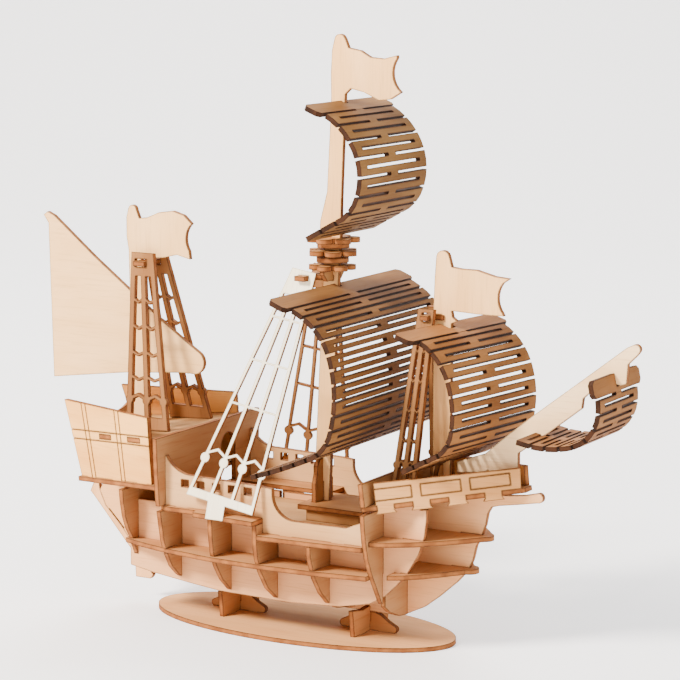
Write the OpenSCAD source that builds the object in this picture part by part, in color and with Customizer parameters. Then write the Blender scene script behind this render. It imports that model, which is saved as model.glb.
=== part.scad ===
// A three-masted sailing ship as a flat-pack jigsaw model: laser-cut plywood plates
// that slot together, resting on a separate oval stand. Every plate is one solid.
// +X is the bow, +Y is port and +Z is up. The origin is the middle of the base's underside.

/* [Plywood] */
// Thickness of every plywood plate
ply = 2; // [1.6:0.1:2.4]
// Thickness of the thinner sheet that the main shrouds are cut from
thin_ply = 1.2; // [1:0.1:1.6]
// Clearance on each side of a slot
fit = 0.1; // [0.05:0.01:0.2]

/* [Stand] */
// Length of the oval base
base_l = 140; // [120:1:170]
// Width of the oval base
base_w = 61; // [50:1:80]
// Distance between the two stands
stand_gap = 63; // [54:1:70]
// Half length of a stand's brace
brace_half = 13.5; // [12:0.5:16]
// Half width of a stand's cradle at its foot
cradle_half = 14; // [12:0.5:17]

/* [Hull] */
// Height of the keel's lower edge
keel_z = 10; // [9:0.5:14]
// Distance from the middle plane to a side plate's outer face
side_y = 22; // [20:0.5:24]
// Height of the main deck's underside
deck_z = 45.5; // [44:0.5:47]
// Height of the lower wale's underside
wale_z = 31.5; // [30:0.5:33]
// Height of the shroud channel's underside
channel_z = 50.2; // [49:0.2:52]
// Distance from the middle plane to a bulwark's outer face
bulwark_y = 34; // [32:0.5:36]
// Height of the upper bow wale's underside
bow_wale_z = 46.2; // [44:0.2:48]
// Height of the lower bow wale's underside
bow_low_z = 32; // [30:0.2:34]

/* [Stern castle] */
// Slope of the castle floor, down towards the stern
castle_tilt = 4; // [0:0.5:6]
// Angle between a castle side and the keel
castle_taper = 14.5; // [10:0.5:18]
// Height of the castle deck above its floor
castle_deck_h = 17; // [14:0.5:20]
// Height of a castle side at its front end
castle_side_h = 28; // [24:0.5:32]

/* [Forecastle] */
// Slope of the forecastle deck, up towards the bow
fore_tilt = 8; // [4:0.5:12]
// Height of the forecastle sides
fore_side_h = 9; // [7:0.5:12]
// Length of the forecastle deck
fore_len = 56; // [50:1:62]

/* [Masts and sails] */
// Forward lean of the main mast
mast_rake = 2.8; // [0:0.1:4]
// Width of the main mast
mast_w = 7.2; // [6:0.1:9]
// Length of the main yard
main_yard_l = 105; // [100:1:126]
// Width of the main sail
main_sail_w = 97; // [88:1:98]
// Length of the topsail yard
top_yard_l = 61; // [58:0.5:76]
// Width of the topsail
top_sail_w = 54; // [48:1:56]
// Length of the fore yard
fore_yard_l = 67; // [62:1:80]
// Width of the fore sail
fore_sail_w = 57; // [50:1:60]
// Turn of the fore sail round its mast
fore_sail_turn = 8; // [0:1:12]
// Length of the spritsail yard
sprit_yard_l = 44; // [40:1:54]
// Width of the spritsail
sprit_sail_w = 36; // [32:1:38]
// Spacing of the slits that let the main sail bend
main_pitch = 3; // [2.8:0.05:3.2]
// Spacing of the topsail's slits
top_pitch = 3.75; // [3.5:0.05:4]
// Spacing of the fore sail's slits
fore_pitch = 3.25; // [3.1:0.05:3.4]
// Spacing of the spritsail's slits
sprit_pitch = 3; // [2.8:0.05:3.2]
// Width of a slit
slit_w = 1.1; // [0.7:0.1:1.3]

/* [Hidden] */

$fn = 48;
slot = ply + 2 * fit;        // width of a slot that takes one plate
over = 1;                    // how far a cut runs past the surface it opens through
rest_gap = 0.05;             // gap between the keel and what it rests on
burn = 0.3;                  // width of an engraved line
engrave = 0.25;              // depth of an engraved line

light_ply = "#ebd5bc";
warm_ply = "#efd3ab";
pale_ply = "#f6f0dc";
sail_ply = "#b08a63";
shade_ply = "#c98f68";

// ---- Stations and heights along the hull ----
frame_x = [-69, -47, -22.5, 0, 24.5, 49];   // middle plane of each frame
stand_x = stand_gap / 2;
plate_y = side_y - ply / 2;                  // middle plane of a side plate
deck_top = deck_z + ply;
lap_z = 27;                                  // where a frame's slot meets the keel's slot
side_lap_z = 33;                             // the same for the side plates
mast_x0 = 10.6;                              // main mast's middle line at mast_z0
mast_z0 = 81;
fore_mast_x = 65;

function main_x(z) = mast_x0 + (z - mast_z0) * tan(mast_rake);
function castle_world_z(x, h) =
  castle_z0 + h / cos(castle_tilt) + (x - castle_x0) * tan(castle_tilt);
function fore_world_z(x, h) =
  fore_z0 + h / cos(fore_tilt) + (x - fore_x0) * tan(fore_tilt);
// Point k of n on an arc from angle a0 to a1
function arc(c, r, a0, a1, n) = [for (k = [0:n]) let (a = a0 + (a1 - a0) * k / n)
  [c[0] + r * cos(a), c[1] + r * sin(a)]];
// A half outline that starts on the middle line, with its mirror image added
function whole(half) = concat(half, [for (k = [len(half) - 1:-1:1]) [-half[k][0], half[k][1]]]);

// A plate standing along the keel, at distance y from the middle plane
module along(y = 0, t = ply) {
  translate([0, y, 0]) rotate([90, 0, 0]) linear_extrude(t, center = true) children();
}
// A plate standing across the keel at station x
module across(x, t = ply) {
  translate([x, 0, 0]) rotate([90, 0, 90]) linear_extrude(t, center = true) children();
}
// A plate lying flat with its underside at height z
module flat(z, t = ply) {
  translate([0, 0, z]) linear_extrude(t) children();
}
// A rectangle given by its two corners
module rect(x0, y0, x1, y1) {
  translate([min(x0, x1), min(y0, y1)]) square([abs(x1 - x0), abs(y1 - y0)]);
}
// The same pattern on both sides of the middle line
module both() {
  children();
  mirror([1, 0]) children();
}

// ---- Stand ----
cradle_tab = 5;
brace_tab = [5, 9.5];
cradle_lap = 6;

module base_plate() {
  color(shade_ply) flat(0) difference() {
    polygon([for (a = [0:3:357]) [base_l / 2 * cos(a), base_w / 2 * sin(a)]]);
    for (s = [-1, 1]) translate([s * stand_x, 0]) {
      for (e = [-1, 1]) {
        translate([0, e * cradle_half / 2]) square([slot, cradle_tab + 2 * fit], center = true);
        rect(e * (brace_tab[0] - fit), -slot / 2, e * (brace_tab[1] + fit), slot / 2);
      }
    }
  }
}

module stand_cradle(s) {
  color(shade_ply) across(s * stand_x) difference() {
    union() {
      polygon([[-cradle_half, ply], [cradle_half, ply], [cradle_half + 1.5, keel_z + 3.3],
        [cradle_half - 2, keel_z + 2.9], [cradle_half / 2, keel_z + 1.9], [2, keel_z + 2.4],
        [-2, keel_z + 2.4], [-cradle_half / 2, keel_z + 1.9], [2 - cradle_half, keel_z + 2.9],
        [-cradle_half - 1.5, keel_z + 3.3]]);
      for (e = [-1, 1])
        translate([e * cradle_half / 2 - cradle_tab / 2, 0]) square([cradle_tab, ply + over]);
    }
    rect(-slot / 2, keel_z - rest_gap, slot / 2, keel_z + 3 + over);
    rect(-slot / 2, ply - over, slot / 2, cradle_lap + fit);
  }
}

module stand_brace(s) {
  color(shade_ply) along() translate([s * stand_x, 0]) difference() {
    union() {
      polygon(concat([[-brace_half + 1, ply], [brace_half - 1, ply]],
        arc([brace_half - 1.6, ply + 1.6], 1.6, -60, 50, 6),
        [[9.5, 6.6], [6, 9], [3, keel_z - rest_gap], [-3, keel_z - rest_gap], [-6, 9], [-9.5, 6.6]],
        arc([1.6 - brace_half, ply + 1.6], 1.6, 130, 240, 6)));
      for (e = [-1, 1]) rect(e * brace_tab[0], 0, e * brace_tab[1], ply + over);
    }
    rect(-slot / 2, cradle_lap - fit, slot / 2, keel_z + over);
  }
}

// ---- Keel and rudder ----
keel_top = deck_z - 1;
// Outline of the stem and beak above the keel, from its foot upwards
stem_line = [[44, keel_z], [49.6, keel_z + 1.2], [57.5, 15], [64, 20], [72.5, 27.5], [77.5, 33],
  [79.5, 37.5], [81, 43.5], [83, 47], [85, 52.5], [86, 57.5], [87.5, 60], [91, 61],
  [100, 62.5], [108, 64]];
// Rudder's front edge, which is the keel's after edge, from its foot upwards
rudder_line = [[-76, 12.5], [-79.5, 16.5], [-91.5, 31.5], [-99.5, 39.5], [-102.5, 46]];

module keel_outline() {
  polygon(concat([[-48, keel_z], [44, keel_z]], stem_line,
    arc([108, 66], 2.1, -80, 80, 8),
    [[102, 66.5], [fore_x0 + ply, fore_world_z(fore_x0 + ply, 0) - 0.3],
     [frame_x[5] - ply / 2, keel_top], [frame_x[1] + 1, keel_top], [frame_x[1] - 1, 50],
     [frame_x[1] - 2, castle_world_z(frame_x[1] - 2, -ply) - 0.3],
     [-98, castle_world_z(-98, -ply) - 0.3]],
    [for (k = [len(rudder_line) - 1:-1:0]) rudder_line[k] + [0.02, 0]]));
}

module keel_plate() {
  color(light_ply) along() difference() {
    keel_outline();
    for (x = frame_x) rect(x - slot / 2, lap_z - fit, x + slot / 2, 90);
    // Slots from the front for the two bow wales
    rect(stem_lap_up, bow_wale_z - fit, 100, bow_wale_z + ply + fit);
    rect(stem_lap_low, bow_low_z - fit, 100, bow_low_z + ply + fit);
    // The long slit that shows at the sternpost
    translate([-94, 34]) rotate(-45) square([11, 1], center = true);
  }
}

module rudder() {
  color(light_ply) along() polygon(concat([[-75, 11.5], [-75.5, 10.5], [-76.5, 9.5], [-84, 9.5],
    [-84.5, 19.5], [-89.5, 25], [-105.5, 43], [-107.5, 45], [-105.5, 49.5], [-103, 50]],
    [for (k = [len(rudder_line) - 1:-1:0]) rudder_line[k]]));
}

// ---- Side plates ----
side_lap_up = 59;
side_lap_low = 58;
stem_lap_up = 74;
stem_lap_low = 70;

module side_plate(s) {
  color(light_ply) along(s * plate_y) difference() {
    polygon(concat([[-72, 21], [-60, 19], [-43, 17], [-28, 15.5], [6, 15], [30, 16.5],
      [44, 19.5], [51, 23.5], [60, 32.5], [66, 42.5], [68.5, 49.5], [69.5, 57],
      [69.5, fore_world_z(69.5, 0) - 2.2], [66.5, fore_world_z(66.5, 0) - 2.2],
      [66.5, fore_world_z(66.5, 0) - 0.2],
      [fore_x0 + ply, fore_world_z(fore_x0 + ply, 0) - 0.2], [fore_x0 + ply, deck_top], [0, deck_top],
      [0, channel_z - 0.1], [-72, channel_z - 0.2]]));
    for (x = frame_x) rect(x - slot / 2, side_lap_z - fit, x + slot / 2, 90);
    rect(side_lap_up, bow_wale_z - fit, 90, bow_wale_z + ply + fit);
    rect(side_lap_low, bow_low_z - fit, 90, bow_low_z + ply + fit);
    for (x = deck_tab_x) rect(x - deck_tab / 2 - fit, deck_z - fit, x + deck_tab / 2 + fit,
      deck_top + fit);
  }
}

// ---- Frames ----
// Half outline of each frame below its top, from the keel outwards: distance out and height
frame_half = [
  [[0, 18], [16, 20.5], [22, 26], [24.5, 31], [26, 34.5], [28.5, 38], [31, 44], [32.5, 51], [33, 56]],
  [[0, 12.5], [18, 17], [24, 20.5], [29, 25], [32.5, 31], [35, 37], [36.5, 44], [38.5, 55], [39.5, 68],
    [40, 81]],
  [[0, 11.5], [16, 13.5], [22.5, 17], [28.5, 22.5], [33, 29], [35.5, 35], [36.5, 42], [37, channel_z - 0.1]],
  [[0, 11], [16, 13], [22.5, 16.5], [29.5, 22], [35, 30], [37.5, 36], [38.5, 42], [38.9, channel_z - 0.1]],
  [[0, 11], [16, 14], [22.5, 17.5], [28.5, 23], [33.5, 30], [36, 36], [37.5, 40],
    [37.7, channel_z - 6.3]],
  [[0, 11], [8, 12], [16, 15.5], [22.5, 20.5], [27, 28], [31, 34.5], [34, 41], [36, 48], [37, 54],
    [37.5, 59.5]]];
// Height of each frame between the side plates
frame_inner_z = [56, 81, deck_z, deck_z, deck_z, 59.6];
// How far out each frame's slot for the lower wale starts
wale_lap = [24.2, 27.5, 29.5, 30, 29, 27];

module frame(i) {
  half = frame_half[i];
  top = half[len(half) - 1][1];
  color(shade_ply) across(frame_x[i]) difference() {
    polygon(whole(half));
    // Lower space between the side plates
    if (frame_inner_z[i] < top)
      rect(plate_y - ply / 2 - fit, frame_inner_z[i], ply / 2 - fit - plate_y, top + over);
    // Slots from below for the keel and the side plates
    rect(-slot / 2, 0, slot / 2, lap_z + fit);
    both() rect(plate_y - slot / 2, 0, plate_y + slot / 2, side_lap_z + fit);
    // The side plates pass the frame above the lap
    if (i >= 2 && i <= 4)
      both() rect(plate_y - slot / 2, frame_inner_z[i], plate_y + slot / 2, top + over);
    if (i < 5) both() rect(wale_lap[i] - fit, wale_z - fit, 60, wale_z + ply + fit);
    if (i == 1) {
      // Doorway under an arch
      translate([9, 0]) rect(0, 53, 11, 69);
      translate([14.5, 69]) circle(r = 5.5);
      // Notches for the front ends of the channels
      both() rect(34, channel_z - fit, 60, channel_z + ply + fit);
    }
  }
}

// ---- Wales, channels and bulwarks ----
// Ends of the waist: just clear of frame 4 and of frame 6
waist_x = [frame_x[3] + ply / 2 + fit / 2, frame_x[5] - ply / 2 - fit];
wale_edge = [[-72, 25.5], [-58, 30], [-46, 33], [-22.5, 36.5], [0, 37], [24.5, 35.5], [waist_x[1], 32]];
upper_edge = [[waist_x[0], 39], [24.5, 38], [waist_x[1], 36]];

module lower_wale(s) {
  color(shade_ply) flat(wale_z) scale([1, s]) difference() {
    polygon(concat([[waist_x[1], side_y + fit], [-72, side_y + fit]], wale_edge));
    for (i = [0:4]) rect(frame_x[i] - slot / 2, 0, frame_x[i] + slot / 2, wale_lap[i] + fit);
  }
}

// Middles of the tabs that hold a bulwark to its channel and to its upper wale
bulwark_tab_x = [-38, -12];
waist_tab_x = [12, 36];
bulwark_tab = 6;
waist_z = channel_z - 6.2;     // underside of the upper wale

// Notches in a flat plate for the bulwark's tabs
module tab_notches(middles) {
  for (x = middles)
    rect(x - bulwark_tab / 2 - fit, bulwark_y - ply - fit, x + bulwark_tab / 2 + fit, bulwark_y + fit);
}

module upper_wale(s) {
  color(shade_ply) flat(waist_z) scale([1, s]) difference() {
    polygon(concat([[waist_x[1], side_y + fit], [waist_x[0], side_y + fit]], upper_edge));
    tab_notches(waist_tab_x);
  }
}

module channel(s) {
  color(shade_ply) flat(channel_z) scale([1, s]) difference() {
    polygon([[frame_x[1] + ply / 2 + fit, side_y + fit], [1, side_y + fit], [1, bulwark_y + 8],
      [-29, bulwark_y + 5.5], [-30, bulwark_y + 2], [frame_x[1] + ply / 2 + fit, bulwark_y + 2]]);
    tab_notches(bulwark_tab_x);
    // Notch for the shroud's hook
    rect(shroud_hook_x - shroud_hook / 2 - fit,
      shroud_y(channel_z + ply) - thin_ply / 2 / cos(shroud_lean) - fit,
      shroud_hook_x + shroud_hook / 2 + fit, 60);
  }
}

module bulwark(s) {
  x0 = frame_x[1] + ply / 2 + fit;
  z0 = channel_z + ply;
  color(light_ply) along(s * (bulwark_y - ply / 2)) difference() {
    union() {
      // Behind the waist it stands on the channel, and along the waist on the upper wale
      polygon(concat([[x0, z0], [waist_x[0], z0], [waist_x[0], waist_z + ply],
        [waist_x[1], waist_z + ply], [waist_x[1], z0 + 4.3], [46, z0 + 3.2], [40, z0 + 0.6]],
        arc([15.5, z0 + 10.4], 10, -90, -172, 8),
        [[5.5, z0 + 12.5], [0, z0 + 13], [-31, z0 + 13.8]], arc([-33.4, z0 + 27.4], 13.6, -84, -152, 8),
        [[x0, z0 + 20.8]]));
      for (x = bulwark_tab_x)
        translate([x - bulwark_tab / 2, z0 - ply]) square([bulwark_tab, ply + over]);
      for (x = waist_tab_x)
        translate([x - bulwark_tab / 2, waist_z]) square([bulwark_tab, ply + over]);
    }
    for (k = [0:4]) translate([-36.2 + 7.6 * k, z0 + 10.2]) square([3.8, 3.2], center = true);
  }
}

module bow_wale(z, aft, half, side_lap, stem_lap, nose) {
  color(shade_ply) flat(z) difference() {
    polygon(concat([[aft, -half[0][1]]], [for (p = half) [p[0], -p[1]]],
      arc([nose[0], 0], nose[1], -60, 60, 10),
      [for (k = [len(half) - 1:-1:0]) half[k]], [[aft, half[0][1]]]));
    for (s = [-1, 1]) rect(aft - over, s * plate_y - slot / 2, side_lap + fit, s * plate_y + slot / 2);
    rect(aft - over, -slot / 2, stem_lap + fit, slot / 2);
  }
}

module bow_wale_upper() {
  aft = frame_x[5] + ply / 2 + fit;
  bow_wale(bow_wale_z, aft, [[aft, 34], [58, 30.5], [66, 25], [74, 17.5], [81, 9.5], [85.5, 4]],
    side_lap_up, stem_lap_up, [84, 4]);
}
module bow_wale_lower() {
  bow_wale(bow_low_z, 55, [[55, 28], [61, 24.5], [67, 18.5], [72, 12.5], [77.5, 4.5]], side_lap_low,
    stem_lap_low, [77.5, 4]);
}

// ---- Decks and hatch ----
deck_tab = 8;
deck_tab_x = [-34, 16];
hatch = [5, 36, 13];          // after end, front end and half width
hatch_h = 4.8;

module main_deck() {
  color(light_ply) flat(deck_z) difference() {
    union() {
      rect(frame_x[1] + ply / 2 + fit, -plate_y + ply / 2 + fit, frame_x[5] - ply / 2 - fit,
        plate_y - ply / 2 - fit);
      for (x = deck_tab_x) rect(x - deck_tab / 2, -side_y, x + deck_tab / 2, side_y);
    }
    rect(main_x(deck_z) - 2.5 - fit, -slot / 2, main_x(deck_top) + 2.5 + fit, slot / 2);
  }
}

module hatch_top() {
  x = main_x(deck_top + hatch_h);
  color(shade_ply) flat(deck_top + hatch_h) difference() {
    rect(hatch[0], -hatch[2], hatch[1], hatch[2]);
    rect(x - mast_w / 2 - 0.4, -slot / 2, x + mast_w / 2 + 0.4, slot / 2);
    rect(x - slot / 2 - 0.3, -main_cross_half - fit, x + slot / 2 + 0.3, main_cross_half + fit);
  }
}

// The walls under the hatch top: its sides run past the cross walls to clear the mast's foot
module hatch_coaming() {
  wall_y = hatch[2] - 2;
  color(light_ply) flat(deck_top, hatch_h) union() {
    for (s = [-1, 1]) rect(hatch[0] + 3, s * wall_y, hatch[1] - 3, s * (wall_y - ply));
    rect(hatch[1] - 3, -wall_y + 0.5, hatch[1] - 3 - ply, wall_y - 0.5);
    rect(hatch[0] + 8.5, -wall_y + 0.5, hatch[0] + 8.5 + ply, wall_y - 0.5);
  }
}

// ---- Forecastle: built level, then tilted up towards the bow ----
fore_x0 = 48;
fore_z0 = 60.3;
fore_half0 = 36;              // half width of the deck at its after end
fore_half1 = 3;               // half width at its front end
fore_taper = atan2(fore_half0 - fore_half1, fore_len);
fore_side_l = sqrt(pow(fore_half0 - fore_half1, 2) + fore_len * fore_len);
fore_side_tab = 6.6;
fore_side_u = [for (k = [0:3]) 9.8 + k * (fore_side_l - 22.4) / 3];

module fore_place() {
  translate([fore_x0, 0, fore_z0]) rotate([0, -fore_tilt, 0]) children();
}
// Along the deck's starboard or port edge: u forward, v into the deck
module fore_edge(s) {
  translate([0, s * fore_half0]) rotate(-s * fore_taper) scale([1, -s]) children();
}

module forecastle_deck() {
  color(shade_ply) fore_place() flat(0) difference() {
    polygon([[0, -fore_half0], [fore_len, -fore_half1], [fore_len, fore_half1], [0, fore_half0]]);
    for (s = [-1, 1]) fore_edge(s)
      for (u = fore_side_u)
        rect(u - fore_side_tab / 2 - fit, -over, u + fore_side_tab / 2 + fit, ply + fit);
    translate([(fore_mast_x - fore_x0) / cos(fore_tilt), 0]) square([6, slot], center = true);
    rect((sprit_tab[0] - fore_x0) / cos(fore_tilt) - 0.6, -slot / 2,
      (sprit_tab[1] - fore_x0) / cos(fore_tilt) + 0.4, slot / 2);
  }
}

module forecastle_side(s) {
  end = fore_side_l - 1.5;
  color(warm_ply) fore_place() translate([0, s * fore_half0, ply]) rotate([0, 0, -s * fore_taper])
    translate([0, -s * ply / 2, 0]) difference() {
      rotate([90, 0, 0]) linear_extrude(ply, center = true) union() {
        polygon([[6, 0], [end, 0], [end + 0.6, fore_side_h - 1], [6, fore_side_h]]);
        for (u = fore_side_u) {
          translate([u - fore_side_tab / 2, -ply - 0.3]) square([fore_side_tab, ply + 0.3 + over]);
          polygon([[u - fore_side_tab / 2 - 0.9, -ply - 1.5], [u + fore_side_tab / 2 + 0.9, -ply - 1.5],
            [u + fore_side_tab / 2, -ply - 0.2], [u - fore_side_tab / 2, -ply - 0.2]]);
        }
      }
      // Three engraved frames on the outer face
      for (k = [0:2]) let (u0 = 4.6 + k * (end - 5) / 3, w = (end - 5) / 3 - 3.4)
        translate([u0, s * (ply / 2 - engrave), 1.7]) rotate([90, 0, 0])
          linear_extrude(2 * engrave + 0.001, center = true) translate([0, 0]) difference() {
            square([w, fore_side_h - 4]);
            translate([burn, burn]) square([w - 2 * burn, fore_side_h - 4 - 2 * burn]);
          }
    }
}

module forecastle_bulkhead() {
  half = fore_half0 + 0.6;
  color(shade_ply) fore_place() translate([0.2, 0, ply]) rotate([90, 0, 90]) linear_extrude(ply)
    polygon([[-half, 0], [half, 0], [half, fore_side_h + 0.4], [-half, fore_side_h + 0.4]]);
}

// ---- Stern castle: built level, then tilted down towards the stern ----
castle_x0 = -48.3;
castle_z0 = 60.5;
castle_front = 3.7;           // how far the sides start behind the bulkhead
castle_half = 35;             // half width over the sides at their front end
castle_bottom_l = 45;
castle_top_l = 53;
castle_rise = 4.5;            // how much the sides rise towards the stern
castle_rake = atan2(castle_top_l - castle_bottom_l, castle_side_h + castle_rise);
castle_slots = [[5.5, 13.5], [24, 31.5]];
floor_tabs = [[3, 9], [19, 25], [35, 41]];
transom_inset = 6;

module castle_place() {
  translate([castle_x0, 0, castle_z0]) rotate([0, -castle_tilt, 0]) children();
}
// Along a castle side in plan: u runs aft, v runs inwards from its outer face
module castle_edge(s) {
  translate([-castle_front, s * castle_half]) rotate(s * castle_taper) scale([-1, -s]) children();
}
function castle_y(x) = castle_half + (x + castle_front) * tan(castle_taper);

// Plan of the space between the castle sides, from x0 aft to x1
module castle_plan(x0, x1, inset) {
  polygon([[x0, -castle_y(x0) + inset], [x0, castle_y(x0) - inset], [x1, castle_y(x1) - inset],
    [x1, -castle_y(x1) + inset]]);
}

module castle_floor() {
  color(shade_ply) castle_place() flat(-ply) difference() {
    castle_plan(-0.4, -castle_bottom_l - 3.5, -1.2);
    for (s = [-1, 1]) castle_edge(s)
      for (t = floor_tabs) rect(t[0] - fit, -fit, t[1] + fit, ply + fit);
  }
}

module castle_deck() {
  color(shade_ply) castle_place() flat(castle_deck_h) union() {
    castle_plan(-0.4, -transom_x(castle_deck_h) + 0.2, (ply + fit) / cos(castle_taper));
    for (s = [-1, 1]) castle_edge(s)
      for (t = castle_slots) rect(t[0] + fit, 0.02, t[1] - fit, ply + 2);
  }
}

// Distance aft of the bulkhead to the transom's front face at height h
function transom_x(h) = castle_front + (castle_bottom_l - transom_inset) * cos(castle_taper)
  + h * tan(castle_rake) - ply / cos(castle_rake);

module castle_side(s) {
  color(warm_ply) castle_place() translate([-castle_front, s * castle_half, 0])
    rotate([0, 0, s * castle_taper]) translate([0, -s * ply / 2, 0]) difference() {
      rotate([90, 0, 0]) linear_extrude(ply, center = true) difference() {
        union() {
          polygon([[0, 0], [0, castle_side_h], [-castle_top_l, castle_side_h + castle_rise],
            [-castle_bottom_l, 0]]);
          for (t = floor_tabs) rect(-t[0], -ply, -t[1], over);
        }
        for (t = castle_slots)
          rect(-t[0], castle_deck_h - fit, -t[1], castle_deck_h + ply + fit);
      }
      // Engraved plank lines on the outer face
      translate([0, s * (ply / 2 - engrave), 0]) rotate([90, 0, 0])
        linear_extrude(2 * engrave + 0.001, center = true) {
          for (z = [castle_deck_h - 0.9, castle_deck_h + ply + 0.9])
            translate([-castle_top_l, z - burn / 2]) square([castle_top_l, burn]);
          for (u = [16.5, 18.8, 35.5, 37.8])
            polygon([[-u, 0], [-u - burn, 0], [-u * 1.14 - burn, 40], [-u * 1.14, 40]]);
        }
    }
}

module transom() {
  h = castle_side_h - 1;
  color(shade_ply) castle_place() intersection() {
    linear_extrude(60) castle_plan(-0.4, -80, (ply + fit) / cos(castle_taper));
    translate([-transom_x(0), 0, 0]) rotate([0, -castle_rake, 0]) translate([-ply, -40, 0.3])
      difference() {
        cube([ply, 80, h]);
        // Arched cut in the top edge
        translate([-over, 40, h + 30]) rotate([0, 90, 0]) cylinder(r = 33, h = ply + 2 * over, $fn = 96);
      }
  }
}

// ---- Shroud ladders ----
// A plate standing in its own plane, wide at the foot and narrow at the head, with openings
// that leave n legs and the bars between them. foot and head are [after end, front end];
// a bar is [share of the height, thickness, drop in its middle].
function mix(a, b, t) = a + (b - a) * t;
function leg_mid(foot, head, n, leg, k, t) = mix(
  mix(foot[0] + leg / 2, foot[1] - leg / 2, k / (n - 1)),
  mix(head[0] + leg / 2, head[1] - leg / 2, k / (n - 1)), t);

module ladder(foot, head, h, n, leg, bars, eye_t, eye_r, foot_h, head_h, foot_drop = 0) {
  rows = concat([[foot_h / h, 0, 0]], bars, [[1 - head_h / h, 0, 0]]);
  difference() {
    polygon([[foot[0], -foot_drop], [foot[1], 0], [head[1], h], [head[0], h]]);
    for (k = [0:n - 2]) for (j = [0:len(rows) - 2])
      let (a = rows[j], b = rows[j + 1], a_l = leg_mid(foot, head, n, leg, k, a[0]) + leg / 2,
        a_r = leg_mid(foot, head, n, leg, k + 1, a[0]) - leg / 2,
        b_l = leg_mid(foot, head, n, leg, k, b[0]) + leg / 2,
        b_r = leg_mid(foot, head, n, leg, k + 1, b[0]) - leg / 2)
        polygon([[a_l, h * a[0] + a[1] / 2], [(a_l + a_r) / 2, h * a[0] + a[1] / 2 - a[2]],
          [a_r, h * a[0] + a[1] / 2], [b_r, h * b[0] - b[1] / 2],
          [(b_l + b_r) / 2, h * b[0] - b[1] / 2 - b[2]], [b_l, h * b[0] - b[1] / 2]]);
  }
  for (k = [0:n - 1]) translate([leg_mid(foot, head, n, leg, k, eye_t), h * eye_t]) circle(r = eye_r);
}

// ---- Mizzen ----
mizzen_foot = [-76.5, -55.5];
mizzen_head = [-81, -70];
mizzen_foot_z = castle_world_z(mizzen_foot[1], castle_deck_h + ply) + 0.2;
mizzen_head_z = 152;
mizzen_spread = [16.5, 4.5];  // distance out at the foot and at the head
mizzen_lean = atan2(mizzen_spread[0] - mizzen_spread[1], mizzen_head_z - mizzen_foot_z);
mizzen_h = (mizzen_head_z - mizzen_foot_z) / cos(mizzen_lean);
mizzen_tree_z = 146.5;
mizzen_tree_x = [-79, -73];
mizzen_mast_x = [-84.5, -77.5];

module mizzen_mast() {
  z0 = castle_world_z(mizzen_mast_x[0], castle_deck_h + ply) + 0.2;
  color(light_ply) along() difference() {
    polygon(concat([[mizzen_mast_x[0], z0], [mizzen_mast_x[1], z0 + 0.4], [mizzen_mast_x[1], 150]],
      [[-76, 150.5], [-72, 149.5], [-67.5, 150], [-61, 151.5], [-54.5, 150]],
      arc([-47.5, 158.5], 9, 214, 142, 8),
      [[-53.5, 165], [-57.5, 168.5], [-63, 170], [-70, 169], [-76, 166.5], [-80, 166],
       [-81.5, 169.5]], arc([-83.5, 169.5], 2, 20, 170, 6), [[-86.5, 166], [-86.5, 158], [-85.5, 152]]));
    rect(mizzen_tree_x[0], mizzen_tree_z - fit, mizzen_mast_x[1] + over, mizzen_tree_z + ply + fit);
  }
}

module mizzen_crosstree() {
  half = mizzen_spread[1] + 3.2;
  color(shade_ply) flat(mizzen_tree_z) difference() {
    rect(mizzen_tree_x[0] + 0.2, -half, mizzen_tree_x[1] - 0.2, half);
    rect(mizzen_tree_x[0] - over, -slot / 2, mizzen_mast_x[1] + fit, slot / 2);
  }
}

module mizzen_shroud(s) {
  slot_h = (mizzen_tree_z - mizzen_foot_z) / cos(mizzen_lean);
  drop = (mizzen_foot[1] - mizzen_foot[0]) * tan(castle_tilt) - 0.2;
  color(shade_ply) translate([0, s * mizzen_spread[0], mizzen_foot_z]) rotate([90 + s * mizzen_lean, 0, 0])
    linear_extrude(ply, center = true) difference() {
      ladder(mizzen_foot, mizzen_head, mizzen_h, 3, 2.3,
        [[0.17, 1.6, -1.4], [0.29, 1.2, 1.2], [0.43, 1.2, 1.2], [0.58, 1.2, 1.2], [0.73, 1.2, 1.2]],
        0.16, 1.9, 5, 10, drop);
      rect(mizzen_tree_x[0], slot_h - 0.5, mizzen_tree_x[1], slot_h + ply + 0.8);
    }
}

module lateen_sail() {
  y = ply + 0.1;
  color(light_ply) along(y) polygon(concat([[-127.5, 93.5], [-129, 161], [-131.5, 164.5]],
    [[-129.5, 166], [-126, 164.5], [-104.5, 147.5], [-86, 134], [-70.5, 122.5], [-56, 113]],
    arc([-54.5, 106], 5.2, 60, -80, 8), [[-60, 101], [-90, 98.5]]));
}

// ---- Main mast ----
nest_z = [161.6, 156.4, 150.4];    // undersides of the three lobed tiers
spacer_z = [159.5, 153.5];
main_cross_half = 7;
main_cross_top = 71.8;
main_tree_z = 146.4;
tree_lap = 2.4;               // how far behind the mast's middle line the crosstree's lap lies
bracket_top = 150.3;
bracket_foot = 146;

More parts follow.
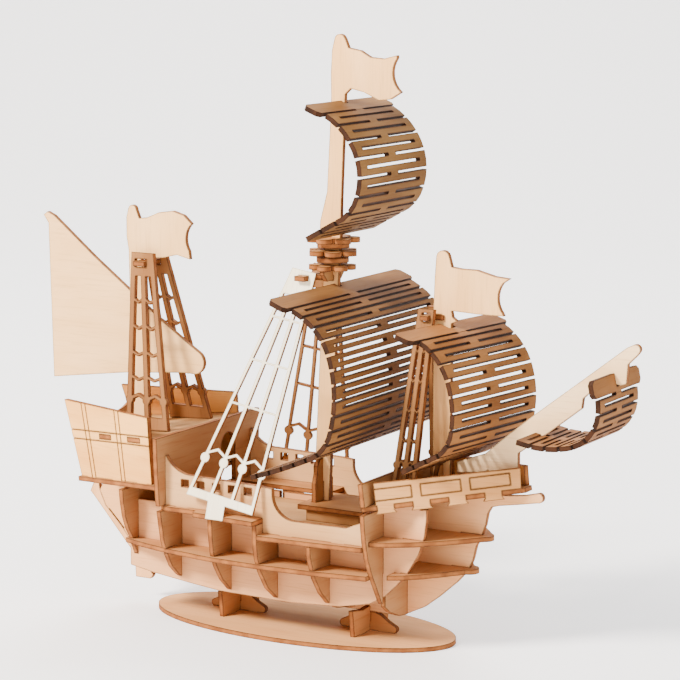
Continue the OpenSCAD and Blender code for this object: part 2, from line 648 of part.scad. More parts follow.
module main_mast() {
  w = mast_w / 2;
  z0 = deck_top;
  x = function (z) main_x(z);
  color(light_ply) along() difference() {
    union() {
      polygon(concat([[x(z0) - w, z0], [x(z0) + w, z0], [x(168) + w, 168], [x(180) + 3.3, 180],
        [x(221.5) + 3, 221.5], [x(223.5) + 5.4, 223.8], [29, 222.5], [36, 219.5], [41, 220],
        [46, 223]],
        arc([51.5, 230.5], 9.4, 232, 142, 8),
        [[44, 237.5], [38, 236], [32, 236.5], [27.5, 239], [22, 240], [20.5, 243.5]],
        arc([18, 243], 2.4, 20, 160, 6), [[14.5, 239], [14, 230], [x(218) - 3.2, 218],
        [x(182) - 3.4, 182], [x(170) - 6, 170], [x(165) - 6, 165], [x(164.5) - w, 164.5]]));
      // Foot through the deck
      rect(x(z0) - 2.5, deck_z, x(z0) + 2.5, z0 + over);
    }
    // Slot from the foot for the lower cross plate
    polygon([[x(z0 + hatch_h) - slot / 2 - 0.1, z0 - over], [x(z0 + hatch_h) + slot / 2 + 0.1, z0 - over],
      [x(z0 + hatch_h) + slot / 2 + 0.1, 62 + fit], [x(z0 + hatch_h) - slot / 2 - 0.1, 62 + fit]]);
    // Slots for the crosstree and for the bracket
    rect(x(main_tree_z) - 20, main_tree_z - fit, x(main_tree_z) - tree_lap + fit, main_tree_z + ply + fit);
    rect(x(bracket_top) - slot / 2 - 0.1, bracket_foot - fit, x(bracket_top) + slot / 2 + 0.1,
      bracket_top - 2.2);
  }
}

module main_mast_cross() {
  x = main_x(deck_top + hatch_h);
  c = main_cross_half;
  color(shade_ply) across(x) difference() {
    polygon(whole([[0, deck_top + 0.05], [c, deck_top + 0.05], [c, 62], [c - 1.5, 66], [c - 1.5, 69],
      [c - 3.5, main_cross_top], [0, main_cross_top]]));
    rect(-slot / 2, 62 - fit, slot / 2, main_cross_top + over);
  }
}

module lobed(r, n) {
  circle(r = r * 0.62);
  for (k = [0:n - 1]) rotate(360 * k / n) translate([r * 0.7, 0]) circle(r = r * 0.3);
}

module crows_nest_tiers() {
  color(shade_ply) {
    for (k = [0:2]) let (z = nest_z[k], x = main_x(z + 1)) flat(z) difference() {
      translate([x, 0]) rotate([30, 0, 30][k]) lobed([10.8, 10.6, 9.6][k], 6);
      translate([x, 0]) square([(k == 0 ? 13.4 : mast_w + 0.7), slot], center = true);
    }
    for (z = spacer_z) let (x = main_x(z + 1)) flat(z, z == spacer_z[0] ? nest_z[0] - z : ply) difference() {
      translate([x, 0]) circle(r = 6.6);
      translate([x, 0]) square([mast_w + 0.7, slot], center = true);
    }
  }
}

module crows_nest_bracket() {
  x = main_x(bracket_top);
  color(shade_ply) across(x) difference() {
    polygon([[-8.4, bracket_top], [-8.4, bracket_top - 1.4], [-5.4, bracket_foot], [5.4, bracket_foot],
      [8.4, bracket_top - 1.4], [8.4, bracket_top]]);
    rect(-slot / 2, bracket_top - 2.2 - fit, slot / 2, bracket_top + over);
  }
}

// ---- Main shrouds: ladders turned in their own plane so that they meet the mast ----
shroud_spread = [bulwark_y + 4.5, 8.5];
shroud_foot_z = channel_z + 6.4;
shroud_head_z = 150;
shroud_mid = [-16.5, 6];     // middle of the foot and of the head
shroud_foot_w = 33;
shroud_head_w = 11.5;
shroud_skew = 4;               // how far the legs lean forward of square to the foot
shroud_hook = 8.4;
shroud_hook_x = shroud_mid[0] - 1.3;
shroud_lean = atan2(shroud_spread[0] - shroud_spread[1], shroud_head_z - shroud_foot_z);
shroud_swing = atan2(shroud_mid[1] - shroud_mid[0],
  (shroud_head_z - shroud_foot_z) / cos(shroud_lean));
shroud_h = (shroud_head_z - shroud_foot_z) / cos(shroud_lean) / cos(shroud_swing);

function shroud_y(z) = shroud_spread[0] - (z - shroud_foot_z) * tan(shroud_lean);
tree_tab = [3.8, 8.6];         // after and front edge of the crosstree's tabs

module main_crosstree() {
  x = main_x(main_tree_z);
  color(shade_ply) flat(main_tree_z) difference() {
    union() {
      rect(tree_tab[0] - 0.6, 2.5 - shroud_spread[1], x - 1.2, shroud_spread[1] - 2.5);
      rect(tree_tab[0], -shroud_spread[1] - 4.6, tree_tab[1], shroud_spread[1] + 4.6);
    }
    rect(x - tree_lap - fit, -slot / 2, x + 5, slot / 2);
  }
}

module main_shroud(s) {
  f = shroud_foot_w / 2;
  g = shroud_head_w / 2;
  drift = shroud_h * tan(shroud_skew);
  color(s < 0 ? pale_ply : shade_ply) difference() {
    translate([shroud_mid[0], s * shroud_spread[0], shroud_foot_z])
      rotate([90 + s * shroud_lean, 0, 0]) rotate([0, 0, shroud_skew - shroud_swing])
        linear_extrude(thin_ply, center = true) union() {
          ladder([-f, f], [drift - g, drift + g], shroud_h, 4, 1.4,
            [[0.19, 1.2, -2], [0.41, 0.9, 0], [0.6, 0.9, 0], [0.79, 0.9, 0]], 0.165, 2.1, 3.6, 11);
          // Hook that drops over the channel's edge
          rotate(shroud_swing - shroud_skew)
            translate([shroud_hook_x - shroud_mid[0] - shroud_hook / 2, -6.4]) square([shroud_hook, 7.5]);
        }
    // Slot for the crosstree's end
    translate([tree_tab[0] - fit, s < 0 ? -30 : 2, main_tree_z - fit])
      cube([tree_tab[1] - tree_tab[0] + 2 * fit, 28, slot]);
  }
}

// ---- Bent sails: one plate cut with rows of slits, curled about the yard's line ----
// Direction of each slat from a list of [number of slats, turn of each]
function slat_dirs(a, runs, i = 0) = i == len(runs) ? [] :
  concat([for (k = [1:runs[i][0]]) a - k * runs[i][1]],
    slat_dirs(a - runs[i][0] * runs[i][1], runs, i + 1));
// Corners of the chain of slats
function chain(p, dirs, pitch, i = 0) = i == len(dirs) ? [p] :
  concat([p], chain(p + pitch * [cos(dirs[i]), sin(dirs[i])], dirs, pitch, i + 1));
// Direction at corner i, halfway between its two slats
function corner_dir(dirs, i) = i == 0 ? dirs[0] : i == len(dirs) ? dirs[i - 1] : (dirs[i - 1] + dirs[i]) / 2;
function side_points(pts, dirs, d) = [for (i = [0:len(pts) - 1]) let (a = corner_dir(dirs, i) + 90)
  pts[i] + d * [cos(a), sin(a)]];

module strip(w) {
  rotate([90, 0, 0]) linear_extrude(w, center = true) children();
}

// start is the yard's after edge in [x, z], yard its chord and direction
module bent_sail(start, yard, runs, pitch, yard_l, w, edge, bridge) {
  dirs = slat_dirs(yard[1], runs);
  p1 = start + yard[0] * [cos(yard[1]), sin(yard[1])];
  pts = chain(p1, dirs, pitch);
  n = len(dirs);
  difference() {
    union() {
      strip(w) polygon(concat(side_points(pts, dirs, ply / 2),
        let (low = side_points(pts, dirs, -ply / 2)) [for (k = [n:-1:0]) low[k]]));
      // The yard is the first and widest slat
      translate([start[0], 0, start[1]]) rotate([0, -yard[1], 0]) linear_extrude(ply, center = true)
        polygon([[1.5, -yard_l / 2], [yard[0] - 2, -yard_l / 2], [yard[0] + 0.02, 2 - yard_l / 2],
          [yard[0] + 0.02, yard_l / 2 - 2], [yard[0] - 2, yard_l / 2], [1.5, yard_l / 2], [0, yard_l / 2 - 2],
          [0, 2 - yard_l / 2]]);
    }
    // Slits: open at both edges on odd rows, closed at the edges on even rows
    for (i = [0:n - 1]) translate([pts[i][0], 0, pts[i][1]]) rotate([0, -corner_dir(dirs, i), 0])
      if (i % 2 == 0) {
        for (s = [-1, 1]) translate([0, s * (bridge / 2 + w / 2), 0])
          cube([slit_w, w, ply + 2], center = true);
      } else
        cube([slit_w, w - 2 * edge, ply + 2], center = true);
  }
}

module main_sail() {
  x = main_x(143);
  color(sail_ply) difference() {
    bent_sail([x + 1.5, 143.8], [9, -22], [[3, 4], [6, 6.5], [10, 3.3], [5, 10], [9, 0.7]], main_pitch,
      main_yard_l, main_sail_w, 5.5, 6);
    translate([x - 30, -slot / 2, 138]) cube([30 + mast_w / 2 + 0.6, slot, 10]);
    translate([main_x(70) - 30, -slot / 2, 62]) cube([30 + mast_w / 2 + 1, slot, 17]);
  }
}

module topsail() {
  x = main_x(218);
  color(sail_ply) difference() {
    bent_sail([x + 1, 218], [8.5, -22], [[1, 8], [5, 7.5], [5, 9], [3, 13], [4, 0]], top_pitch,
      top_yard_l, top_sail_w, 5.5, 6);
    translate([x - 20, -slot / 2, 213]) cube([23.6, slot, 10]);
    translate([main_x(170) - 30, -slot / 2, 160]) cube([34.4, slot, 14]);
  }
}

// ---- Fore mast ----
fore_w = 8;
fore_tree_z = 133.6;
fore_spread = [17, 4];
fore_cross_half = 6;
fore_lap_z = 70.5;
fore_cross_top = 75.4;

module fore_mast() {
  w = fore_w / 2;
  x = fore_mast_x;
  z0 = fore_world_z(x + w, ply) + 0.1;
  color(light_ply) along() difference() {
    union() {
      polygon(concat([[x - w, z0 - 1], [x + w, z0], [x + w, 132.4], [71.5, 133.5], [69.5, 135], [69, 137.5],
        [80, 137], [92, 137]],
        arc([99, 144], 9.6, 218, 142, 8),
        [[94.5, 152], [88, 152.5], [80, 154.5], [73.5, 154.5], [69, 155], [68, 158.5]],
        arc([65, 158.5], 2.9, 10, 170, 6), [[61.5, 150], [x - w, 138]]));
      rect(x - 2.5, fore_world_z(x, 0) - 0.2, x + 2.5, z0 + over);
    }
    rect(x - slot / 2, z0 - 8, x + slot / 2, fore_lap_z + fit);
    rect(x - w - over, fore_tree_z - fit, x, fore_tree_z + ply + fit);
  }
}

module fore_mast_cross() {
  c = fore_cross_half;
  z0 = fore_world_z(fore_mast_x + 1, ply) + 0.1;
  color(shade_ply) across(fore_mast_x) difference() {
    polygon([[-c, z0], [c, z0], [c, 72], [c - 2, fore_cross_top], [2 - c, fore_cross_top], [-c, 72]]);
    rect(-slot / 2, fore_lap_z - fit, slot / 2, fore_cross_top + over);
  }
}

fore_tree_tab = [58.2, 61.8];        // after and front edge of the crosstree's tabs
fore_foot = [50.8, 61.5];
fore_head = [56.2, 63.4];

module fore_crosstree() {
  half = fore_spread[1] + 3.4;
  color(shade_ply) flat(fore_tree_z) difference() {
    union() {
      rect(fore_tree_tab[0], -half, fore_tree_tab[1], half);
      rect(fore_tree_tab[0], -fore_spread[1] + 2, fore_mast_x + 1, fore_spread[1] - 2);
    }
    rect(fore_mast_x - fit, -slot / 2, fore_mast_x + 10, slot / 2);
  }
}

module fore_shroud(s) {
  z0 = fore_world_z(fore_foot[1], ply) + 0.2;
  lean = atan2(fore_spread[0] - fore_spread[1], 138 - z0);
  h = (138 - z0) / cos(lean);
  slot_h = (fore_tree_z - z0) / cos(lean);
  color(shade_ply) translate([0, s * fore_spread[0], z0]) rotate([90 + s * lean, 0, 0])
    linear_extrude(ply, center = true) difference() {
      ladder(fore_foot, fore_head, h, 3, 2, [[0.17, 1.3, -1], [0.3, 1, 1], [0.46, 1, 1], [0.62, 1, 1],
        [0.78, 1, 1]], 0.16, 1.6, 3.4, 8, (fore_foot[1] - fore_foot[0]) * tan(fore_tilt) - 0.2);
      rect(fore_tree_tab[0] - fit, slot_h - 0.5, fore_tree_tab[1] + fit, slot_h + ply + 0.8);
    }
}

module fore_sail() {
  color(sail_ply) translate([fore_mast_x, 0, 0]) rotate([0, 0, -fore_sail_turn])
    translate([-fore_mast_x, 0, 0]) difference() {
      bent_sail([64.6, 131.2], [9.5, -15], [[2, 10], [5, 7.2], [6, 5], [4, 13], [5, 0]], fore_pitch,
        fore_yard_l, fore_sail_w, 5.5, 6);
      notch = slot + 2 * fore_w * sin(fore_sail_turn);
      translate([40, -notch / 2, 126]) cube([25 + fore_w / 2 + 0.6, notch, 9]);
      translate([40, -notch / 2, 74]) cube([25 + fore_w / 2 + 0.6, notch, 12]);
      // The foot stops short of the shrouds
      translate([40, -50, 74]) cube([23.4 + ply, 100, 12]);
    }
}

// ---- Bowsprit and spritsail ----
sprit_tab = [90.5, 98];         // after and front edge of the tab through the deck

module bowsprit() {
  color(light_ply) along() difference() {
    union() {
      polygon(concat(
        [[72, 72.5], [84, 74], [95.5, 80.5], [112.5, 93], [126, 103.5], [126.5, 107.5], [128, 109],
         [139, 117], [139.5, 114.5], [142, 114], [144.5, 115], [145, 122.5], [148.5, 126]],
        arc([148, 128.5], 2, -50, 110, 6),
        [[144.5, 129], [127, 115.5], [105.5, 99], [95, 90.5], [84.5, 81.5], [72, 77]]));
      polygon([[86, 60], [99, 60], [99, 84], [86, 78]]);
    }
    difference() {
      polygon([[70, 50], [120, 50], [120, fore_world_z(120, ply)], [70, fore_world_z(70, ply)]]);
      polygon([[sprit_tab[0], fore_world_z(sprit_tab[0], 0.1)],
        [sprit_tab[1], fore_world_z(sprit_tab[1], 0.1)], [sprit_tab[1], 90], [sprit_tab[0], 90]]);
    }
  }
}

module sprit_sail() {
  color(sail_ply) difference() {
    bent_sail([138.5, 118.5], [7.5, -78], [[2, 6], [7, 10.7], [6, 4.2], [1, 0]], sprit_pitch, sprit_yard_l,
      sprit_sail_w, 4.5, 5);
    // Notch for the bowsprit's hook, and one for its underside
    translate([130, -slot / 2, 113.6]) cube([20, slot, 9]);
    translate([90, -slot / 2, 80]) cube([22, slot, 14]);
  }
}

base_plate();
stand_cradle(1);  // stand_cradle_front
stand_cradle(-1);  // stand_cradle_rear
stand_brace(1);  // stand_brace_front
stand_brace(-1);  // stand_brace_rear
keel_plate();
rudder();
side_plate(-1);  // side_plate_starboard
side_plate(1);  // side_plate_port
frame(0);  // frame_1
frame(1);  // frame_2
frame(2);  // frame_3
frame(3);  // frame_4
frame(4);  // frame_5
frame(5);  // frame_6
lower_wale(-1);  // lower_wale_starboard
lower_wale(1);  // lower_wale_port
upper_wale(-1);  // upper_wale_starboard
upper_wale(1);  // upper_wale_port
channel(-1);  // channel_starboard
channel(1);  // channel_port
bulwark(-1);  // bulwark_starboard
bulwark(1);  // bulwark_port
bow_wale_upper();
bow_wale_lower();
main_deck();
forecastle_deck();
forecastle_side(-1);  // forecastle_side_starboard
forecastle_side(1);  // forecastle_side_port
forecastle_bulkhead();
castle_floor();
castle_deck();
castle_side(-1);  // castle_side_starboard
castle_side(1);  // castle_side_port
transom();
hatch_top();
hatch_coaming();
mizzen_mast();
mizzen_crosstree();
mizzen_shroud(-1);  // mizzen_shroud_starboard
mizzen_shroud(1);  // mizzen_shroud_port
lateen_sail();
main_mast();
main_mast_cross();
crows_nest_tiers();
crows_nest_bracket();
main_crosstree();
main_shroud(-1);  // main_shroud_starboard
main_shroud(1);  // main_shroud_port
main_sail();
topsail();
fore_mast();
fore_mast_cross();
fore_crosstree();
fore_shroud(-1);  // fore_shroud_starboard
fore_shroud(1);  // fore_shroud_port
fore_sail();
bowsprit();
sprit_sail();
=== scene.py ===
import itertools
import math

import bpy
import bmesh
from mathutils import Matrix, Vector

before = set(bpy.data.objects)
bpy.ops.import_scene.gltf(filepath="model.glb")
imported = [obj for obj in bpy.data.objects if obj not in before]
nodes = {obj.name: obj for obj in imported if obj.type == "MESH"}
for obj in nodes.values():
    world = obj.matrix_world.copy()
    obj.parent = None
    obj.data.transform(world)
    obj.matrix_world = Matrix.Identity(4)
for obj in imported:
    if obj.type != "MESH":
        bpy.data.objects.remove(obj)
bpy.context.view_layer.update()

# ---- Base and stand ----
# An oval base of basswood plywood, with two crossed plates pushed into it at each end.
# Each plate is cut by laser from one sheet, so its faces are sanded veneer and its edges
# are scorched.


def linear(hex_colour):
    """sRGB hex to the linear colour that a shader takes."""
    channels = [int(hex_colour[i:i + 2], 16) / 255 for i in (1, 3, 5)]
    return [c / 12.92 if c <= 0.04045 else ((c + 0.055) / 1.055) ** 2.4 for c in channels] + [1.0]


def add(tree, kind, inputs=None, **settings):
    """Adds a node, sets its settings, and sets or links its inputs."""
    made = tree.nodes.new(kind)
    for name, value in settings.items():
        setattr(made, name, value)
    for name, value in (inputs or {}).items():
        socket = made.inputs[name]
        if isinstance(value, bpy.types.NodeSocket):
            tree.links.new(value, socket)
        else:
            socket.default_value = value
    return made


def maths(tree, operation, a, b=0.0):
    """The result of one calculation on two values or sockets."""
    return add(tree, "ShaderNodeMath", {0: a, 1: b}, operation=operation).outputs[0]


def blend_colour(tree, share, a, b, mode="MIX"):
    """Mixes colour b over colour a by share."""
    made = add(tree, "ShaderNodeMix", data_type="RGBA", blend_type=mode)
    for socket, value in ((made.inputs[0], share), (made.inputs[6], a), (made.inputs[7], b)):
        if isinstance(value, bpy.types.NodeSocket):
            tree.links.new(value, socket)
        else:
            socket.default_value = value
    return made.outputs[2]


def ramp_between(tree, value, low, high):
    """0 where value is under low, 1 where it is over high, and smooth between."""
    return add(tree, "ShaderNodeMapRange", {"Value": value, "From Min": low, "From Max": high},
               interpolation_type="SMOOTHSTEP").outputs[0]


def plate_basis(obj):
    """The plate's normal, from its largest flat face, its longest direction, and how far out
    along the normal its middle lies."""
    areas = {}
    for face in obj.data.polygons:
        normal = face.normal if max(face.normal, key=abs) > 0 else -face.normal
        key = tuple(round(c, 1) for c in normal)
        total, summed = areas.get(key, (0.0, Vector()))
        areas[key] = (total + face.area, summed + normal * face.area)
    across = max(areas.values(), key=lambda item: item[0])[1].normalized()
    points = [vertex.co for vertex in obj.data.vertices]
    axes = (Vector((1, 0, 0)), Vector((0, 0, 1)), Vector((0, 1, 0)))
    flat = [axis - across * axis.dot(across) for axis in axes]
    spans = [(max(p.dot(d) for p in points) - min(p.dot(d) for p in points), i)
             for i, d in enumerate(flat) if d.length > 0.5]
    grain = flat[max(spans)[1]].normalized()
    heights = [p.dot(across) for p in points]
    return across, grain, (min(heights) + max(heights)) / 2


PLY = 0.002                # thickness of a sheet, m
GLUE_DEPTH = 0.2           # how far a glue line lies from the sheet's middle, in thicknesses
GRAIN_WIDTH = 0.0007       # spacing of the grain's fine lines, m, coarser than real so it shows
GRAIN_STRETCH = 0.045      # scale along the grain, which draws its lines out 22 times
GRAIN_SHARE = 0.22         # how far the lines darken the veneer
POOL_WIDTH = 0.012         # size of the soft light and dark patches in a veneer, m
POOL_STRETCH = 0.25        # scale along the grain, which draws the patches out 4 times
SMOKE_WIDTH = 1 / 180      # size of the patches of thicker smoke, m
STAIN_GAIN = 1.8           # smoke on a face, at its corner, for a scorch of 1
CHAR_SHARE = 0.95          # how far a cut's corners are charred
LEAST_SMOKE = 0.7          # smoke where it is thinnest, as a share of the thickest
GLUE_SHARE = 0.35          # how far a glue line darkens a cut
GLUE_CORE = 0.03           # half the width of its dark middle, in thicknesses
GLUE_FADE = 0.1            # half the width where it has faded out, in thicknesses
SHEET_STEP = (0.37, 0.61)  # from one plate to the next on the sheet they are taken from, m

# Where each smooth step starts and where it is complete
FACE_STEP = (0.55, 0.8)    # from cut to face, by the cosine to the sheet's normal
CORNER_STEP = (0.001, 0.07)  # from plain to corner, by 1 less the cosine of the rounded normal
LINE_STEP = (0.5, 0.75)    # from veneer to grain line, by the noise's value
PATCH_STEP = (0.3, 0.7)    # from one patch to the other, by the noise's value

ROUGH_RANGE = (0.65, 0.85)  # a matt surface, roughest in the grain lines
RELIEF_SHARE = 0.12
RELIEF_DEPTH = 0.0001      # m
SHINE = 0.12
GRAIN_TINT = "#a87a4e"
SMOKED_FACE = "#3a1f0c"
CHARRED_CORNER = "#2a1507"
GLUE = "#6b4222"


def plywood(name, obj, face, shade, seed, scorch=0.55, curl=None, scorch_width=0.0008,
            cut="#9c6030", deep_cut="#7a4520"):
    """Basswood plywood, laser cut: pale matt veneer with fine straight grain, and edges burnt
    to brown with the darker glue lines of its layers. face and shade are the veneer's light
    and dark patches, cut and deep_cut the edge's. curl is the middle of a bent plate's curve,
    in metres, where the plate has no single normal."""
    material = bpy.data.materials.new(name)
    material.use_nodes = True
    tree = material.node_tree
    tree.nodes.clear()
    place = add(tree, "ShaderNodeTexCoord")
    if curl:
        across, grain, middle = Vector((1, 0, 0)), Vector((0, 1, 0)), 0.0
        arm = add(tree, "ShaderNodeVectorMath", {0: place.outputs["Object"], 1: curl},
                  operation="SUBTRACT").outputs[0]
        flat = add(tree, "ShaderNodeVectorMath", {0: arm, 1: (1, 0, 1)}, operation="MULTIPLY").outputs[0]
        toward = add(tree, "ShaderNodeVectorMath", {0: flat}, operation="NORMALIZE").outputs[0]
    else:
        across, grain, middle = plate_basis(obj)
        toward = add(tree, "ShaderNodeCombineXYZ", dict(zip("XYZ", across))).outputs[0]
    facing = add(tree, "ShaderNodeVectorMath", {0: place.outputs["Normal"], 1: toward},
                 operation="DOT_PRODUCT").outputs["Value"]
    on_face = ramp_between(tree, maths(tree, "ABSOLUTE", facing), *FACE_STEP)

    # The sheet's own directions: X along the grain, Y across it, Z through the thickness
    turn = Matrix((grain, across.cross(grain), across)).to_euler()
    shift = (seed * SHEET_STEP[0], seed * SHEET_STEP[1], -middle)
    sheet = add(tree, "ShaderNodeMapping", {"Vector": place.outputs["Object"], "Rotation": turn,
                                            "Location": shift}).outputs[0]
    drawn = add(tree, "ShaderNodeMapping", {"Vector": sheet, "Scale": (GRAIN_STRETCH, 1, 1)}).outputs[0]
    lines = add(tree, "ShaderNodeTexNoise", {"Vector": drawn, "Scale": 1 / GRAIN_WIDTH, "Detail": 3.0,
                                             "Roughness": 0.6}).outputs[0]
    long = add(tree, "ShaderNodeMapping", {"Vector": sheet, "Scale": (POOL_STRETCH, 1, 1)}).outputs[0]
    pools = add(tree, "ShaderNodeTexNoise", {"Vector": long, "Scale": 1 / POOL_WIDTH,
                                             "Detail": 2.0}).outputs[0]

    veneer = blend_colour(tree, ramp_between(tree, pools, *PATCH_STEP), linear(face), linear(shade))
    line_share = maths(tree, "MULTIPLY", ramp_between(tree, lines, *LINE_STEP), GRAIN_SHARE)
    veneer = blend_colour(tree, line_share, veneer, linear(GRAIN_TINT), "MULTIPLY")

    # Smoke stain along the cuts
    rounded = add(tree, "ShaderNodeBevel", {"Radius": scorch_width}, samples=6).outputs[0]
    flat_normal = add(tree, "ShaderNodeNewGeometry").outputs["True Normal"]
    near = add(tree, "ShaderNodeVectorMath", {0: rounded, 1: flat_normal},
               operation="DOT_PRODUCT").outputs["Value"]
    patchy = add(tree, "ShaderNodeTexNoise", {"Vector": sheet, "Scale": 1 / SMOKE_WIDTH,
                                              "Detail": 2.0}).outputs[0]
    corner = ramp_between(tree, maths(tree, "SUBTRACT", 1.0, near), *CORNER_STEP)
    uneven = add(tree, "ShaderNodeMapRange", {"Value": patchy, "To Min": LEAST_SMOKE}).outputs[0]
    stain = maths(tree, "MULTIPLY", corner, maths(tree, "MULTIPLY", uneven, scorch * STAIN_GAIN))
    veneer = blend_colour(tree, maths(tree, "MINIMUM", stain, 1.0), veneer, linear(SMOKED_FACE))

    # Burnt edge, with the two glue lines of a three-layer sheet
    burnt = blend_colour(tree, ramp_between(tree, patchy, *PATCH_STEP), linear(cut), linear(deep_cut))
    burnt = blend_colour(tree, maths(tree, "MULTIPLY", corner, CHAR_SHARE), burnt, linear(CHARRED_CORNER))
    depth = add(tree, "ShaderNodeSeparateXYZ", {0: sheet}).outputs["Z"]
    from_glue = maths(tree, "SUBTRACT", maths(tree, "ABSOLUTE", depth), PLY * GLUE_DEPTH)
    glue_line = maths(tree, "SUBTRACT", 1.0, ramp_between(tree, maths(tree, "ABSOLUTE", from_glue),
                                                          PLY * GLUE_CORE, PLY * GLUE_FADE))
    glue_share = 0.0 if curl else GLUE_SHARE        # a bent plate has no one depth to draw it at
    burnt = blend_colour(tree, maths(tree, "MULTIPLY", glue_line, glue_share), burnt, linear(GLUE))

    colour = blend_colour(tree, on_face, burnt, veneer)
    rough = add(tree, "ShaderNodeMapRange", {"Value": lines, "To Min": ROUGH_RANGE[0],
                                             "To Max": ROUGH_RANGE[1]}).outputs[0]
    bump = add(tree, "ShaderNodeBump", {"Height": lines, "Strength": RELIEF_SHARE,
                                        "Distance": RELIEF_DEPTH}).outputs[0]
    shader = add(tree, "ShaderNodeBsdfPrincipled", {"Base Color": colour, "Roughness": rough,
                                                    "Normal": bump, "Specular IOR Level": SHINE})
    add(tree, "ShaderNodeOutputMaterial", {"Surface": shader.outputs[0]})
    return material


sheet_number = itertools.count(1)


def dress(names, face, shade, **finish):
    """Gives each named plate its own sheet of plywood, with its grain along its length."""
    for name in names:
        obj = nodes[name]
        made = plywood("basswood_plywood_" + name, obj, face, shade, next(sheet_number), **finish)
        for slot in obj.material_slots:
            slot.material = made


dress(["base_plate"], "#d19962", "#c68d56")
dress(["stand_cradle_front", "stand_cradle_rear", "stand_brace_front", "stand_brace_rear"],
      "#bd804a", "#ac6e3a")

# ---- Keel and rudder ----
# The backbone of the ship is one plywood plate, from the sternpost to the beak. The rudder
# is a second plate that stands against its after edge.
dress(["keel_plate", "rudder"], "#eaae77", "#e0a269")

# ---- Frames ----
# Six plywood plates across the hull. They drop over the keel and the side plates in halved
# slots, and the first five carry the lower wales in notches on their outer edges.
# The frames are coloured darker than the other hull plates: painted shade on their faces towards the bow.
dress(["frame_%d" % i for i in range(1, 7)], "#a37549", "#97663b")

# ---- Side plates, wales and channels ----
# Two flat plates stand along the hull as planking. The wales and channels are rails that
# lie flat across the frames, and the bulwarks stand on the channels and upper wales by tabs.
dress(["side_plate_starboard", "side_plate_port"], "#da9f6e", "#d09462")
dress(["lower_wale_starboard", "lower_wale_port", "upper_wale_starboard", "upper_wale_port",
       "channel_starboard", "channel_port", "bow_wale_upper", "bow_wale_lower"], "#b38050", "#a56e3e")
dress(["bulwark_starboard", "bulwark_port"], "#ce9e6c", "#c3915e")

# ---- Main deck and hatch ----
# One plate between the side plates, tabbed into them. The hatch is a darker lid on four
# low walls, with slots in it for the main mast and its cross plate. The colours of both are
# darkened as painted shade of the deck between the ship's sides.
dress(["main_deck", "hatch_coaming"], "#af8252", "#a37242")
dress(["hatch_top"], "#a87240", "#996333")

# ---- Forecastle ----
# A pointed deck that slopes up to the bow, with a bulkhead across its after end. The sides
# hook over its edges by tabs, and have frames engraved in their outer faces.
dress(["forecastle_deck", "forecastle_bulkhead"], "#a97a4c", "#9c6b3b")
dress(["forecastle_side_starboard", "forecastle_side_port"], "#cd945a", "#c1864b")

# ---- Stern castle ----
# A floor and a deck between two raked sides, closed by the transom. The sides are tabbed to
# both and have plank lines engraved in their outer faces, in a yellower veneer.
dress(["castle_floor", "castle_deck", "transom"], "#ab7f4f", "#9d6f42")
dress(["castle_side_starboard", "castle_side_port"], "#f4b465", "#e39f53")

# ---- Masts, crosstrees and crow's nest ----
# Each mast is one pale plate with its flag, standing on its deck or through it, and a plain
# lateen sail lies against the mizzen. Smaller, darker plates cross the masts: foot plates,
# crosstrees and the lobed stages of the crow's nest.
dress(["mizzen_mast", "lateen_sail"], "#f1c083", "#e8b475")
dress(["mizzen_crosstree"], "#a2703e", "#915e30")
dress(["main_mast", "fore_mast"], "#f8c283", "#efb674")
dress(["main_mast_cross", "main_crosstree", "crows_nest_tiers", "crows_nest_bracket",
       "fore_mast_cross", "fore_crosstree"], "#a67441", "#956031")

# ---- Shrouds ----
# Rope ladders cut as open plates, each hooked to the channel or standing on a deck and held
# at its head by the crosstree. The starboard main shroud is cut from a nearly white sheet.
dress(["main_shroud_starboard"], "#f6ecd2", "#efe0bf", scorch=0.3)
dress(["main_shroud_port", "mizzen_shroud_starboard", "mizzen_shroud_port",
       "fore_shroud_starboard", "fore_shroud_port"], "#92643a", "#80532c", scorch=0.6)

# ---- Bent sails ----
# Plywood plates slit across in rows, so that each curls between its yard and its foot. The
# slits' smoke darkens the whole sail, and their walls are burnt nearly black. The sails'
# veneer colours are also darker as painted shade, since the sails stand in shade.
SLIT_FINISH = dict(scorch=0.8, cut="#3a1f0d", deep_cut="#241206")
dress(["main_sail"], "#7f552b", "#643f1d", curl=(0.0125, 0, 0.104), **SLIT_FINISH)
dress(["topsail"], "#835c2f", "#694621", curl=(0.019, 0, 0.194), **SLIT_FINISH)
dress(["fore_sail"], "#8f5f31", "#744720", curl=(0.0665, 0, 0.106), **SLIT_FINISH)

# ---- Bowsprit and spritsail ----
# The bowsprit is a pale plate that drops through the forecastle deck by a tab. Its sail is
# slit and bent like the others, and a notch in its yard fits the plate's hook.
dress(["bowsprit"], "#f7d2a1", "#ecc28c")
# Like the other sails, its veneer colour is partly smoke from the slits and partly painted shade.
dress(["sprit_sail"], "#8a5c31", "#6e4421", curl=(0.126, 0, 0.104), **SLIT_FINISH)

# ---- Floor ----
# A sheet of matt studio paper lies under the ship and sweeps up behind it in one curve. A
# little light of its own lifts it to nearly white.
PAPER_GLOW = 0.35
FLOOR_FRONT = -3.0
FLOOR_BACK = 1.2
SWEEP_RADIUS = 0.8
SWEEP_TOP = 4.0
PAPER_WIDTH = 8.0
SWEEP_TURN = math.radians(30)      # square to the camera

paper = bpy.data.materials.new("studio_paper")
paper.use_nodes = True
matt = paper.node_tree.nodes["Principled BSDF"].inputs
matt["Base Color"].default_value = linear("#f4f3f3")
matt["Roughness"].default_value = 0.8
matt["Emission Color"].default_value = linear("#ffffff")
matt["Emission Strength"].default_value = PAPER_GLOW

bends = [math.radians(a) for a in range(6, 91, 6)]
profile = [(FLOOR_FRONT, 0.0), (FLOOR_BACK, 0.0)]
profile += [(FLOOR_BACK + SWEEP_RADIUS * math.sin(a), SWEEP_RADIUS * (1 - math.cos(a))) for a in bends]
profile += [(FLOOR_BACK + SWEEP_RADIUS, SWEEP_TOP)]

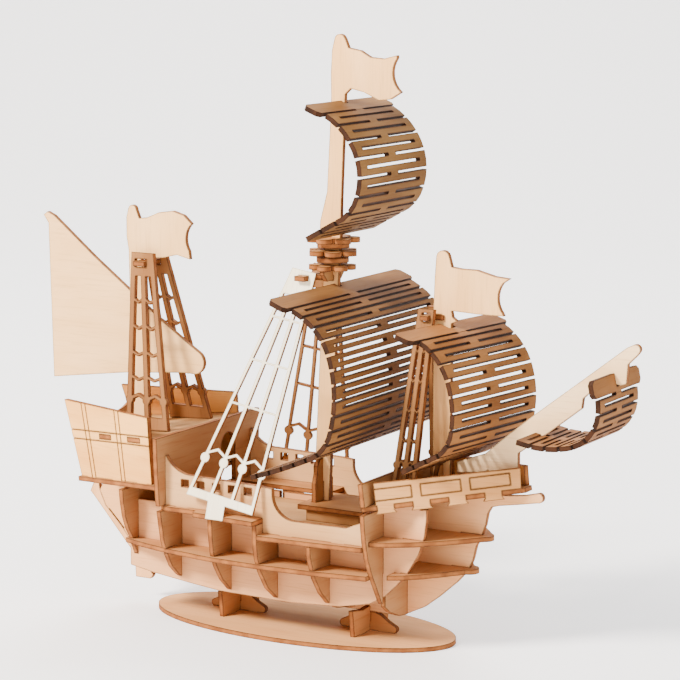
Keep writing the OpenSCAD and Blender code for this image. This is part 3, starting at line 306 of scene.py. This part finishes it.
sheet_mesh = bmesh.new()
rail = [sheet_mesh.verts.new((-PAPER_WIDTH / 2, y, z)) for y, z in profile]
edges = [sheet_mesh.edges.new(pair) for pair in zip(rail, rail[1:])]
grown = bmesh.ops.extrude_edge_only(sheet_mesh, edges=edges)
far_side = [v for v in grown["geom"] if isinstance(v, bmesh.types.BMVert)]
bmesh.ops.translate(sheet_mesh, vec=(PAPER_WIDTH, 0, 0), verts=far_side)
bmesh.ops.rotate(sheet_mesh, verts=sheet_mesh.verts, cent=(0, 0, 0),
                 matrix=Matrix.Rotation(SWEEP_TURN, 3, "Z"))
bmesh.ops.recalc_face_normals(sheet_mesh, faces=sheet_mesh.faces)
mesh = bpy.data.meshes.new("studio_sweep")
sheet_mesh.to_mesh(mesh)
sheet_mesh.free()
for face in mesh.polygons:
    face.use_smooth = True
sweep = bpy.data.objects.new("studio_sweep", mesh)
sweep.data.materials.append(paper)
bpy.context.collection.objects.link(sweep)

# ---- Lights ----
# A warm round lamp on the stern side of the camera throws soft shadows towards the bow. Two
# weaker ones fill the bow side and the back, and pale air lights the rest.
SHIP_MIDDLE = Vector((0, 0, 0.1))


def soft_light(name, place, size, watts, colour):
    """A round lamp, size across, aimed at the middle of the ship."""
    light = bpy.data.lights.new(name, "AREA")
    light.shape = "DISK"
    light.size = size
    light.energy = watts
    light.color = linear(colour)[:3]
    lamp = bpy.data.objects.new(name, light)
    lamp.location = place
    lamp.rotation_euler = (SHIP_MIDDLE - Vector(place)).to_track_quat("-Z", "Y").to_euler()
    bpy.context.collection.objects.link(lamp)


soft_light("key_light", (-0.9, -1.5, 1.5), 0.6, 165, "#fff7ee")
soft_light("fill_light", (1.6, -0.6, 0.8), 1.6, 14, "#fbfcff")
soft_light("back_light", (-0.4, 1.2, 1.4), 1.0, 30, "#ffffff")

world = bpy.data.worlds.new("studio_air")
world.use_nodes = True
air = world.node_tree.nodes["Background"].inputs
air["Color"].default_value = linear("#f1f1f3")
air["Strength"].default_value = 1.15
bpy.context.scene.world = world

# ---- Camera ----
# A long lens off the starboard bow, a little above the mastheads and looking slightly down,
# so that the plates show with little perspective.
AZIMUTH = math.radians(29.96)
ELEVATION = math.radians(9.23)
CAMERA_PLACE = Vector((0.5193, -0.8704, 0.2848))

camera = bpy.data.objects.new("camera", bpy.data.cameras.new("camera"))
camera.data.lens = 132.35
camera.data.sensor_width = 36.0
camera.data.clip_start = 0.01
right = Vector((math.cos(AZIMUTH), math.sin(AZIMUTH), 0))
back = Vector((math.sin(AZIMUTH) * math.cos(ELEVATION), -math.cos(AZIMUTH) * math.cos(ELEVATION),
               math.sin(ELEVATION)))
aim = Matrix((right, back.cross(right), back)).transposed().to_4x4()
camera.matrix_world = Matrix.Translation(CAMERA_PLACE) @ aim
bpy.context.collection.objects.link(camera)
bpy.context.scene.camera = camera
